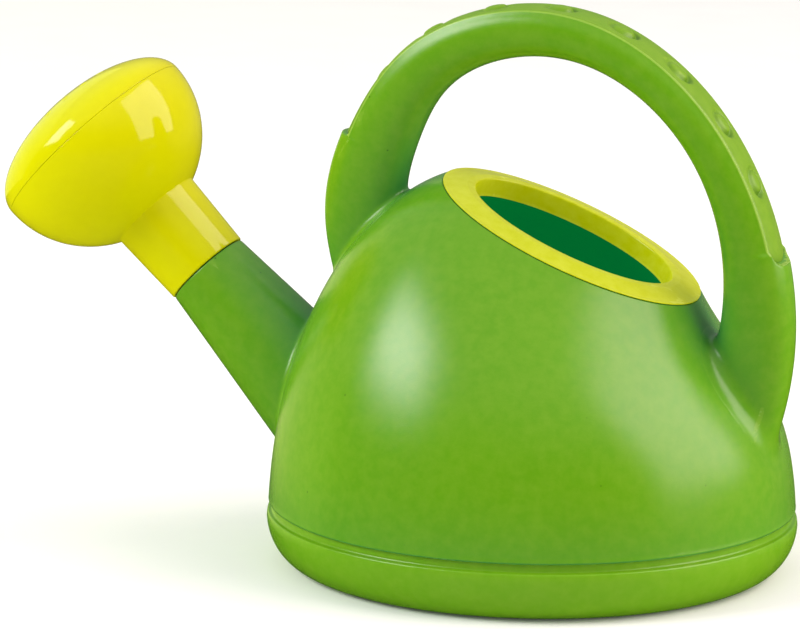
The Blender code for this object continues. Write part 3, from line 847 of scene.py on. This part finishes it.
def build_bowl(material):
    """The half ellipsoid and its neck, with the seal's groove in the bore."""
    neck_end = SPOUT_TIP + GAP
    neck_top = bowl_start(NECK_TOP_RADIUS)
    bore = SPIGOT_RADIUS + 2 * GAP
    outline = [(ROSE_RADIUS - 0.5 * MM, 0.0, 0.0), (ROSE_RADIUS, 0.0, 0.2 * MM)]
    outer_steps = 48
    for i in range(1, outer_steps + 1):
        a = radians(90.0 * i / outer_steps)
        distance = neck_top * (0.35 * (1 - cos(a)) + 0.65 * sin(a))
        outline.append((bowl_radius(distance), distance, 0.0 if i < outer_steps else 0.7 * MM))
    middle = SPOUT_TIP + 0.5 * SPIGOT_LENGTH
    half = 0.5 * SEAL_SECTION + GAP
    groove = SPIGOT_RADIUS + SEAL_SECTION + 2 * GAP
    inner_start = bowl_start(bore, ROSE_WALL)
    outline += [
        (NECK_END_RADIUS, neck_end, 0.6 * MM),
        (bore, neck_end, 0.4 * MM),
        (bore, middle - half, 0.0),
        (groove, middle - half, 0.0),
        (groove, middle + half, 0.0),
        (bore, middle + half, 0.0),
        (bore, inner_start, 0.5 * MM),
    ]
    inner_steps = 31
    for i in range(inner_steps - 1, 0, -1):
        distance = inner_start * i / inner_steps
        outline.append((bowl_radius(distance, ROSE_WALL), distance, 0.0))
    outline.append((ROSE_RADIUS - ROSE_WALL, 0.0, 0.0))
    profile = subdivided(rounded(outline), 2 * MM)
    verts, faces = turned(profile, AROUND, axis_matrix())
    return piece("rose_body", verts, faces, material, "rose", ["rose_bowl"], sharp=28.0)


def build_face(material):
    """The domed front with its lip, drilled with countersunk spray holes."""
    lip = ROSE_RADIUS - ROSE_WALL - 2.5 * GAP
    lip_in = lip - 1.6 * MM
    outline = []
    inner = []
    steps = 48
    for i in range(steps + 1):
        a = radians(90.0 - 90.0 * i / steps)
        outline.append((ROSE_RADIUS * cos(a), ROSE_SEAM + ROSE_DOME * sin(a), 0.0))
        inner.append(((ROSE_RADIUS - FACE_WALL) * cos(a), ROSE_SEAM + (ROSE_DOME - FACE_WALL) * sin(a), 0.0))
    outline[0] = (0.0, ROSE_SEAM + ROSE_DOME, 0.0)
    inner[0] = (0.0, ROSE_SEAM + ROSE_DOME - FACE_WALL, 0.0)
    outline[-1] = (ROSE_RADIUS, ROSE_SEAM, 0.15 * MM)
    outline += [(lip, ROSE_SEAM, 0.0), (lip, -FACE_LIP, 0.3 * MM), (lip_in, -FACE_LIP, 0.3 * MM)]
    outline += [point for point in inner if point[0] < lip_in][::-1]
    profile = subdivided(rounded(outline), 2 * MM)
    verts, faces = turned(profile, AROUND, axis_matrix(), wrap=False)
    face = piece("rose_front", verts, faces, material)
    boolean_cut(face, spray_cutter())
    dome_normals(face)
    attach(face, "rose")
    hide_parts("rose_face")
    return face


def spray_cutter():
    """Every spray hole as one cutter: pins along the axis that widen at the front."""
    verts = []
    faces = []
    sides = 20
    angle = np.arange(sides) * (2 * pi / sides)
    for ring, count in HOLE_RINGS:
        surface = ROSE_SEAM + ROSE_DOME * sqrt(1 - (ring / ROSE_RADIUS) ** 2)
        for k in range(count):
            a = 2 * pi * k / count
            rows = []
            for radius, height in (
                (HOLE_RADIUS, 0.3 * ROSE_DOME),
                (HOLE_RADIUS, surface - HOLE_COUNTERSINK),
                (HOLE_RADIUS + 3 * HOLE_COUNTERSINK, surface + 2 * HOLE_COUNTERSINK),
            ):
                x = ring * cos(a) + radius * np.cos(angle)
                y = ring * sin(a) + radius * np.sin(angle)
                rows.append(np.stack([x, y, np.full(sides, height)], axis=1))
            pin_verts, pin_faces = grid(rows, wrap=False)
            base = len(verts)
            verts += [tuple(p) for p in pin_verts]
            faces += [tuple(i + base for i in pin_face) for pin_face in pin_faces]
    m = np.array(axis_matrix())
    placed = np.array(verts) @ m[:3, :3].T + m[:3, 3]
    return piece("spray_holes", placed, faces, None)


def dome_normals(face):
    """Gives the drilled dome the exact normals of its ellipsoid, so that it shades evenly round the holes."""
    mesh = face.data
    to_local = axis_matrix().inverted()
    turn = axis_matrix().to_3x3()
    normals = []
    flat = mesh.corner_normals
    for polygon in mesh.polygons:
        centre = to_local @ polygon.center
        reach = (centre.x**2 + centre.y**2) / ROSE_RADIUS**2 + ((centre.z - ROSE_SEAM) / ROSE_DOME) ** 2
        on_dome = abs(reach - 1.0) < 0.01 and centre.z > ROSE_SEAM + 0.4 * MM
        for loop in polygon.loop_indices:
            if on_dome:
                p = to_local @ mesh.vertices[mesh.loops[loop].vertex_index].co
                slope = Vector((p.x / ROSE_RADIUS**2, p.y / ROSE_RADIUS**2, (p.z - ROSE_SEAM) / ROSE_DOME**2))
                normals.append((turn @ slope).normalized())
            else:
                normals.append(Vector(flat[loop].vector))
    mesh.normals_split_custom_set(normals)


# ---------------------------------------------------------------- materials


class Nodes:
    """A short way to write a material's node tree; values may be numbers, colours or sockets."""

    def __init__(self, name):
        self.material = bpy.data.materials.new(name)
        self.material.use_nodes = True
        self.tree = self.material.node_tree
        self.shader = self.tree.nodes["Principled BSDF"]

    def add(self, kind, inputs=(), **settings):
        """A node of this kind with these inputs and properties."""
        node = self.tree.nodes.new(kind)
        for key, value in settings.items():
            setattr(node, key, value)
        for key, value in dict(inputs).items():
            if isinstance(value, bpy.types.NodeSocket):
                self.tree.links.new(value, node.inputs[key])
            else:
                node.inputs[key].default_value = value
        return node

    def noise(self, place, scale, detail=2.0, rough=0.5):
        """Noise around 0.5, at this many cycles a metre."""
        inputs = {"Vector": place, "Scale": scale, "Detail": detail, "Roughness": rough}
        return self.add("ShaderNodeTexNoise", inputs).outputs["Fac"]

    def spread(self, value, low, high, start=0.0, end=1.0):
        """value from low..high mapped to start..end, and held there."""
        inputs = {"Value": value, "From Min": low, "From Max": high, "To Min": start, "To Max": end}
        return self.add("ShaderNodeMapRange", inputs).outputs["Result"]

    def maths(self, operation, a, b=0.0):
        """The result of one Math node."""
        return self.add("ShaderNodeMath", {0: a, 1: b}, operation=operation).outputs[0]

    def mix(self, share, a, b):
        """Colour a at share 0 and b at share 1."""
        node = self.add("ShaderNodeMix", data_type="RGBA")
        for socket, value in ((node.inputs[0], share), (node.inputs[6], a), (node.inputs[7], b)):
            if isinstance(value, bpy.types.NodeSocket):
                self.tree.links.new(value, socket)
            else:
                socket.default_value = value
        return node.outputs[2]

    def link(self, value, name):
        """Feeds the shader's input of this name."""
        self.tree.links.new(value, self.shader.inputs[name])


def moulded_plastic(
    name, colour, deeper, lighter, gloss, grain, grain_size, waviness, specks=0.4, painted_nook_shade=None, mirror=0.4
):
    """Moulded plastic: two close tones, a few specks, lighter edges that are partly rubbed wear and partly
    painted highlight, uneven gloss and a fine grain.

    gloss is the lowest and the highest roughness, and mirror the strength of reflections. nook holds painted
    shade for sheltered places: its colour, how far its rays look, and the openness at which the painted shade
    is full and gone.
    """
    n = Nodes(name)
    place = n.add("ShaderNodeTexCoord").outputs["Object"]
    clouds = n.noise(place, 14.0, 3.0, 0.55)
    base = n.mix(n.spread(clouds, 0.35, 0.65), deeper, colour)
    fine = n.noise(place, 260.0, 4.0, 0.6)
    base = n.mix(n.spread(fine, 0.35, 0.7, 0.0, 0.22), base, lighter)
    # Lighter edges: partly rubbed wear, partly a painted highlight along ridges and edges.
    pointed = n.add("ShaderNodeNewGeometry").outputs["Pointiness"]
    ridge = n.spread(pointed, 0.53, 0.58)
    worn_and_lit = n.spread(n.noise(place, 120.0, 4.0, 0.7), 0.42, 0.62, 0.15, 0.55)
    rub_and_highlight = n.maths("MULTIPLY", ridge, worn_and_lit)
    base = n.mix(rub_and_highlight, base, lighter)
    spots = n.add("ShaderNodeTexVoronoi", {"Vector": place, "Scale": 150.0, "Randomness": 1.0})
    dot = n.spread(spots.outputs["Distance"], 0.035, 0.055, 1.0, 0.0)
    lot = n.add("ShaderNodeSeparateColor", {"Color": spots.outputs["Color"]}).outputs[0]
    chosen = n.spread(lot, 0.88, 0.89)
    dark = tuple(0.35 * c for c in deeper[:3]) + (1.0,)
    speck = n.maths("MULTIPLY", n.maths("MULTIPLY", dot, chosen), specks)
    base = n.mix(speck, base, dark)
    # Painted shade: sheltered places, found by ambient occlusion, turn towards the darker shade colour.
    if painted_nook_shade:
        shade, reach, deep, open_air = painted_nook_shade
        shelter = n.add("ShaderNodeAmbientOcclusion", {"Distance": reach}, samples=6).outputs["AO"]
        base = n.mix(n.spread(shelter, deep, open_air, 0.85, 0.0), base, shade)
    n.link(base, "Base Color")
    smear = n.noise(place, 38.0, 5.0, 0.65)
    rough = n.spread(smear, 0.3, 0.7, gloss[0], gloss[1])
    rough = n.maths("ADD", rough, n.maths("MULTIPLY", rub_and_highlight, 0.12))
    n.link(rough, "Roughness")
    stretched = n.add("ShaderNodeMapping", {"Vector": place, "Scale": (1.0, 1.0, 2.8)}).outputs["Vector"]
    waves = n.noise(stretched, 150.0, 2.0, 0.5)
    wavy = n.add("ShaderNodeBump", {"Height": waves, "Strength": 1.0, "Distance": waviness}).outputs[0]
    pores = n.noise(stretched, 1.0 / grain_size, 3.0, 0.6)
    pitted = {"Height": pores, "Strength": 1.0, "Distance": grain, "Normal": wavy}
    n.link(n.add("ShaderNodeBump", pitted).outputs[0], "Normal")
    n.shader.inputs["IOR"].default_value = 1.5
    n.shader.inputs["Specular IOR Level"].default_value = mirror
    return n.material


def seal_rubber():
    """Black rubber with a dusty bloom and a fine moulded grain."""
    n = Nodes("seal_rubber")
    place = n.add("ShaderNodeTexCoord").outputs["Object"]
    bloom = n.spread(n.noise(place, 220.0, 4.0, 0.6), 0.4, 0.7)
    n.link(n.mix(bloom, (0.012, 0.012, 0.012, 1.0), (0.035, 0.035, 0.033, 1.0)), "Base Color")
    n.link(n.spread(bloom, 0.0, 1.0, 0.55, 0.8), "Roughness")
    grain = n.add("ShaderNodeBump", {"Height": n.noise(place, 2200.0), "Strength": 1.0, "Distance": 0.00003})
    n.link(grain.outputs[0], "Normal")
    return n.material


def floor_paper():
    """Pale studio paper with a barely visible tooth."""
    n = Nodes("floor_paper")
    place = n.add("ShaderNodeTexCoord").outputs["Object"]
    tone = n.noise(place, 30.0, 3.0)
    n.link(n.mix(n.spread(tone, 0.3, 0.7), (0.93, 0.93, 0.93, 1.0), (0.95, 0.95, 0.95, 1.0)), "Base Color")
    n.shader.inputs["Roughness"].default_value = 0.9
    n.shader.inputs["Specular IOR Level"].default_value = 0.2
    n.shader.inputs["Emission Color"].default_value = (1.0, 1.0, 1.0, 1.0)
    n.shader.inputs["Emission Strength"].default_value = 0.05
    tooth = n.add("ShaderNodeBump", {"Height": n.noise(place, 900.0), "Strength": 0.2, "Distance": 0.0001})
    n.link(tooth.outputs[0], "Normal")
    return n.material


# ---------------------------------------------------------------- stage, lights and camera

VIEW_TURN = radians(21.65)
VIEW_RISE = radians(12.57)
VIEW_DISTANCE = 1.84039
VIEW_TARGET = Vector((-0.04604, 0.0, 0.07878))
VIEW_LENS = 253.535
SENSOR = 36.0

# Name, degrees round from -Y towards +X, degrees up, distance, width, height, watts and colour
SOFTBOXES = (
    ("left_box", -53, 33, 2.0, 1.0, 0.85, 28.0, (1.02, 1.0, 0.98)),
    ("left_rim", -110, 8, 2.0, 2.6, 1.6, 10.0, (0.92, 1.0, 0.25)),
    ("right_box", 97, 30, 1.8, 1.7, 1.7, 35.5, (1.2, 1.0, 0.98)),
)


def towards(turn, rise):
    """The direction at this azimuth and height above the horizon, as seen from the object."""
    return Vector((sin(turn) * cos(rise), -cos(turn) * cos(rise), sin(rise)))


def add_camera():
    """The photograph's view: a long lens, turned towards the handle's side and a little above."""
    data = bpy.data.cameras.new("camera")
    data.lens = VIEW_LENS
    data.sensor_width = SENSOR
    data.clip_end = 50.0
    camera = bpy.data.objects.new("camera", data)
    bpy.context.scene.collection.objects.link(camera)
    back = towards(VIEW_TURN, VIEW_RISE)
    camera.location = VIEW_TARGET + back * VIEW_DISTANCE
    camera.rotation_euler = back.to_track_quat("Z", "Y").to_euler()
    bpy.context.scene.camera = camera


def add_softbox(name, turn, rise, distance, width, height, power, colour):
    """A rectangular light aimed at the object; turn and rise are in degrees."""
    data = bpy.data.lights.new(name, "AREA")
    data.shape = "RECTANGLE"
    data.size = width
    data.size_y = height
    data.energy = power
    data.color = colour
    light = bpy.data.objects.new(name, data)
    bpy.context.scene.collection.objects.link(light)
    direction = towards(radians(turn), radians(rise))
    light.location = Vector((0.0, 0.0, 0.08)) + direction * distance
    light.rotation_euler = direction.to_track_quat("Z", "Y").to_euler()
    light.visible_camera = False


def add_world(front, back, top, below):
    """A soft room: dim on the camera's side and below, brighter behind the object and brightest overhead."""
    world = bpy.data.worlds.new("studio")
    world.use_nodes = True
    tree = world.node_tree
    tree.nodes.clear()
    place = tree.nodes.new("ShaderNodeTexCoord")
    split = tree.nodes.new("ShaderNodeSeparateXYZ")
    tree.links.new(place.outputs["Generated"], split.inputs[0])
    colour = None
    rows = (
        ("Y", -0.2, 0.8, front, back),
        ("Z", 0.15, 0.85, None, top),
        ("Z", -0.02, -0.3, None, below),
    )
    for axis, low, high, start, end in rows:
        share = tree.nodes.new("ShaderNodeMapRange")
        share.interpolation_type = "SMOOTHSTEP"
        share.inputs["From Min"].default_value = low
        share.inputs["From Max"].default_value = high
        tree.links.new(split.outputs[axis], share.inputs["Value"])
        mix = tree.nodes.new("ShaderNodeMix")
        mix.data_type = "RGBA"
        tree.links.new(share.outputs["Result"], mix.inputs[0])
        if start is None:
            tree.links.new(colour, mix.inputs[6])
        else:
            mix.inputs[6].default_value = (*start, 1.0)
        mix.inputs[7].default_value = (*end, 1.0)
        colour = mix.outputs[2]
    background = tree.nodes.new("ShaderNodeBackground")
    tree.links.new(colour, background.inputs["Color"])
    output = tree.nodes.new("ShaderNodeOutputWorld")
    tree.links.new(background.outputs[0], output.inputs["Surface"])
    bpy.context.scene.world = world


def add_floor(material):
    """A wide flat sheet just under the foot."""
    half = 6.0
    count = 12
    line = np.linspace(-half, half, count + 1)
    verts = [(x, y, 0.0) for y in line for x in line]
    faces = []
    for i in range(count):
        for j in range(count):
            a = i * (count + 1) + j
            faces.append((a, a + 1, a + count + 2, a + count + 1))
    floor = piece("floor", verts, faces, material)
    floor.location.z = -0.02 * MM
    # Reflections leave the floor out.
    floor.visible_glossy = False


# ---------------------------------------------------------------- the can

green = moulded_plastic(
    "can_green", (0.115, 0.325, 0.003, 1), (0.105, 0.306, 0.0025, 1), (0.24, 0.42, 0.03, 1),
    gloss=(0.20, 0.25), grain=0.035 * MM, grain_size=0.55 * MM, waviness=0.009 * MM, specks=0.8,
    # painted shade: darker, bluer green in the crevices between tank, spout and handle
    painted_nook_shade=((0.014, 0.222, 0.060, 1), 45 * MM, 0.25, 0.95),
)
# Painted light: the foot takes the can's green made lighter.
foot_green = moulded_plastic(
    "foot_green", (0.142, 0.370, 0.004, 1), (0.130, 0.350, 0.0035, 1), (0.26, 0.45, 0.03, 1),
    gloss=(0.22, 0.27), grain=0.035 * MM, grain_size=0.55 * MM, waviness=0.009 * MM, specks=0.6,
)
# Painted highlight: a lighter green for the raised lip beside the strip and the strip's round rear end.
lip_highlight_green = moulded_plastic(
    "lip_highlight_green", (0.24, 0.44, 0.04, 1), (0.21, 0.41, 0.03, 1), (0.34, 0.52, 0.07, 1),
    gloss=(0.24, 0.30), grain=0.008 * MM, grain_size=0.55 * MM, waviness=0.009 * MM, specks=0.0,
)
# Painted light: the inside is a brighter, bluer green than the outside, for the light that comes through the
# thin wall and bounces inside.
inside_green = moulded_plastic(
    "can_green_inside", (0.003, 0.45, 0.10, 1), (0.002, 0.40, 0.09, 1), (0.01, 0.50, 0.12, 1),
    gloss=(0.45, 0.55), grain=0.015 * MM, grain_size=0.6 * MM, waviness=0.03 * MM,
)
# A little glow stands in for the light that comes through the thin wall.
glow = inside_green.node_tree.nodes["Principled BSDF"]
glow.inputs["Emission Color"].default_value = (0.0, 0.110, 0.028, 1)
glow.inputs["Emission Strength"].default_value = 0.8
strip_green = moulded_plastic(
    "grip_green", (0.158, 0.335, 0.003, 1), (0.143, 0.312, 0.002, 1), (0.28, 0.45, 0.03, 1),
    gloss=(0.36, 0.46), grain=0.014 * MM, grain_size=0.5 * MM, waviness=0.012 * MM,
    # painted shade: darker green in the moats round the domes and along the strip's edges
    painted_nook_shade=((0.045, 0.180, 0.003, 1), 3 * MM, 0.45, 0.90),
)
yellow = moulded_plastic(
    "trim_yellow", (0.64, 0.63, 0.0003, 1), (0.61, 0.60, 0.0003, 1), (0.70, 0.69, 0.0008, 1),
    gloss=(0.07, 0.12), grain=0.0015 * MM, grain_size=0.5 * MM, waviness=0.006 * MM, specks=0.12,
    mirror=0.27,
)
# Painted light: the ring's yellow is the trim yellow made darker and greener, for the green light it gets
# back from the can.
ring_yellow = moulded_plastic(
    "ring_yellow", (0.40, 0.44, 0.0003, 1), (0.375, 0.42, 0.0003, 1), (0.62, 0.68, 0.10, 1),
    gloss=(0.16, 0.22), grain=0.003 * MM, grain_size=0.5 * MM, waviness=0.008 * MM, specks=0.12,
    mirror=0.22,
)
# And here a painted glow brightens the ring, so that its yellow stays strong in the shade.
ring_painted_glow = ring_yellow.node_tree.nodes["Principled BSDF"]
ring_painted_glow.inputs["Emission Color"].default_value = (0.97, 1.0, 0.0, 1)
ring_painted_glow.inputs["Emission Strength"].default_value = 0.18
rubber = seal_rubber()

outer_tree, inner_tree = build_tank(green, inside_green)
build_foot(foot_green)
build_spout(green, outer_tree, inner_tree)
build_handle(green, lip_highlight_green, outer_tree)
build_strip(strip_green)
build_ring(ring_yellow)
build_bowl(yellow)
build_face(yellow)
seal = frame["nodes"]["rose_seal"]
seal.data.materials.clear()
seal.data.materials.append(rubber)

add_floor(floor_paper())
add_world(
    front=(0.04, 0.04, 0.04), back=(0.22, 0.23, 0.22), top=(0.66, 0.68, 0.70), below=(0.03, 0.04, 0.02)
)
for softbox in SOFTBOXES:
    add_softbox(*softbox)
bpy.context.scene.view_settings.view_transform = "Standard"
add_camera()
